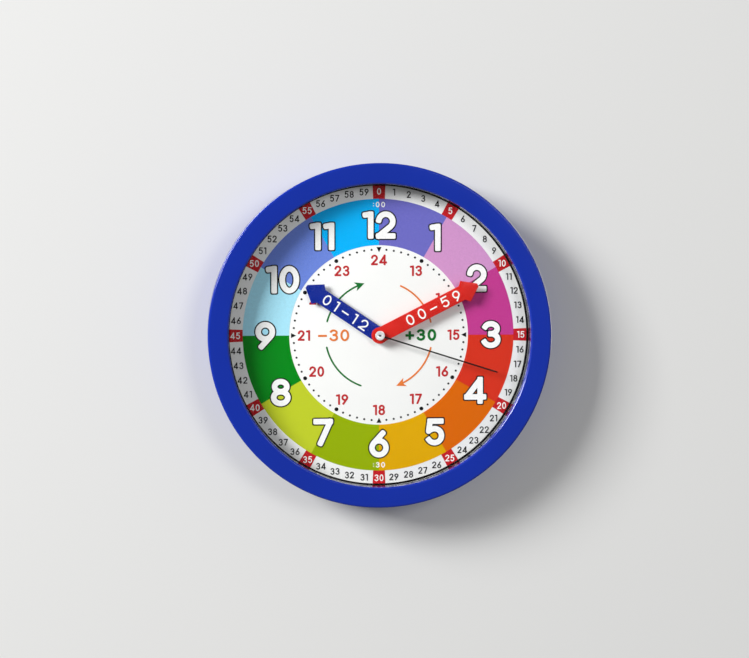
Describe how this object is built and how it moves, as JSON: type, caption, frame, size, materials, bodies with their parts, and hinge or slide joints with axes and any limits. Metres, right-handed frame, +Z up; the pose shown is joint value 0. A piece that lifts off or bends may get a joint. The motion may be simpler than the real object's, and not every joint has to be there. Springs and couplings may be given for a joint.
{
  "type": "time teaching wall clock",
  "caption": "Round wall clock for teaching the time: blue case, clear window, dial board, three hands and a geared battery movement, hung by a keyhole bracket.",
  "frame": {"origin": "where the hands' axis meets the wall plane, at the centre of the rim's rear face", "axes": "+X to the right as one reads the dial, +Y from the dial into the wall, +Z up to twelve o'clock"},
  "size_m": [0.3, 0.045, 0.3],
  "materials": {
    "blue_plastic": "glossy moulded plastic",
    "spacer_black": "black moulded plastic",
    "clear_window": "clear and flat",
    "dial_print": "satin printed board",
    "back_plastic": "fine moulded texture",
    "screw_steel": "zinc plated",
    "hanger_steel": "zinc plated sheet",
    "movement_plastic": "moulded black plastic",
    "gasket_rubber": "matt rubber",
    "bush_brass": "turned brass",
    "wheel_plastic": "white acetal",
    "pipe_brass": "turned brass",
    "spring_steel": "spring sheet",
    "knob_plastic": "moulded black plastic",
    "magnet_grey": "sintered magnet",
    "stator_steel": "soft iron sheet",
    "bobbin_plastic": "moulded plastic",
    "copper_wire": "enamelled copper wire",
    "board_green": "solder mask",
    "crystal_can": "drawn can",
    "chip_black": "epoxy",
    "contact_steel": "nickel plated strip",
    "battery_jacket": "plain dark jacket",
    "hour_blue": "glossy blue plastic",
    "minute_red": "glossy red plastic",
    "second_black": "black painted blade",
    "hub_silver": "satin metal"
  },
  "bodies": {
    "case": {"case_ring": "blue_plastic", "lens": "clear_window", "spacer_ring": "spacer_black", "dial": "dial_print", "back_plate": "back_plastic", "case_screws": "screw_steel", "hanger_bracket": "hanger_steel", "hanger_screws": "screw_steel", "movement_case": "movement_plastic", "movement_cover": "movement_plastic", "rubber_gasket": "gasket_rubber", "bush_washer": "bush_brass", "bush_nut": "bush_brass", "stator": "stator_steel", "coil_core": "stator_steel", "coil_bobbin": "bobbin_plastic", "coil_winding": "copper_wire", "circuit_board": "board_green", "quartz_crystal": "crystal_can", "control_chip": "chip_black", "contact_plus": "contact_steel", "contact_minus": "contact_steel"},
    "minute": {"minute_pipe": "pipe_brass", "minute_hand": "minute_red"},
    "hour": {"hour_wheel": "wheel_plastic", "hour_hand": "hour_blue"},
    "motion_works": {"motion_wheel": "wheel_plastic", "set_knob": "knob_plastic"},
    "second": {"second_wheel": "wheel_plastic", "second_hand": "second_black", "second_hub": "hub_silver"},
    "third": {"third_wheel": "wheel_plastic"},
    "centre": {"centre_wheel": "wheel_plastic", "clutch_spring": "spring_steel"},
    "intermediate": {"intermediate_wheel": "wheel_plastic"},
    "rotor": {"rotor_pinion": "wheel_plastic", "rotor_magnet": "magnet_grey"},
    "battery": {"battery": "battery_jacket"}
  },
  "joints": [
    {"name": "minute_hand_turn", "type": "hinge", "parent": "case", "child": "minute", "pos_m": [0, -0.012, 0], "axis": [0, 1, 0], "continuous": true},
    {"name": "hour_hand_turn", "type": "hinge", "parent": "case", "child": "hour", "pos_m": [0, -0.012, 0], "axis": [0, 1, 0], "continuous": true},
    {"name": "set_knob_turn", "type": "hinge", "parent": "case", "child": "motion_works", "pos_m": [-0.01159, -0.012, 0.00311], "axis": [0, 1, 0], "continuous": true},
    {"name": "second_hand_turn", "type": "hinge", "parent": "case", "child": "second", "pos_m": [0, -0.012, 0], "axis": [0, 1, 0], "continuous": true},
    {"name": "third_wheel_turn", "type": "hinge", "parent": "case", "child": "third", "pos_m": [0, -0.012, 0.0108], "axis": [0, 1, 0], "continuous": true},
    {"name": "centre_wheel_turn", "type": "hinge", "parent": "case", "child": "centre", "pos_m": [0, -0.012, 0], "axis": [0, 1, 0], "continuous": true},
    {"name": "intermediate_wheel_turn", "type": "hinge", "parent": "case", "child": "intermediate", "pos_m": [0.01043, -0.012, 0.0028], "axis": [0, 1, 0], "continuous": true},
    {"name": "rotor_turn", "type": "hinge", "parent": "case", "child": "rotor", "pos_m": [0.01481, -0.012, 0.01037], "axis": [0, 1, 0], "continuous": true},
    {"name": "battery_out", "type": "slide", "parent": "case", "child": "battery", "axis": [0, 1, 0], "range_m": [0, 0.03]}
  ],
  "couplings": [
    {"joint": "hour_hand_turn", "follows": "minute_hand_turn", "ratio": 0.083333},
    {"joint": "set_knob_turn", "follows": "minute_hand_turn", "ratio": -0.33333},
    {"joint": "third_wheel_turn", "follows": "second_hand_turn", "ratio": -0.13333},
    {"joint": "centre_wheel_turn", "follows": "second_hand_turn", "ratio": 0.016667},
    {"joint": "intermediate_wheel_turn", "follows": "second_hand_turn", "ratio": -5},
    {"joint": "rotor_turn", "follows": "second_hand_turn", "ratio": 30}
  ]
}
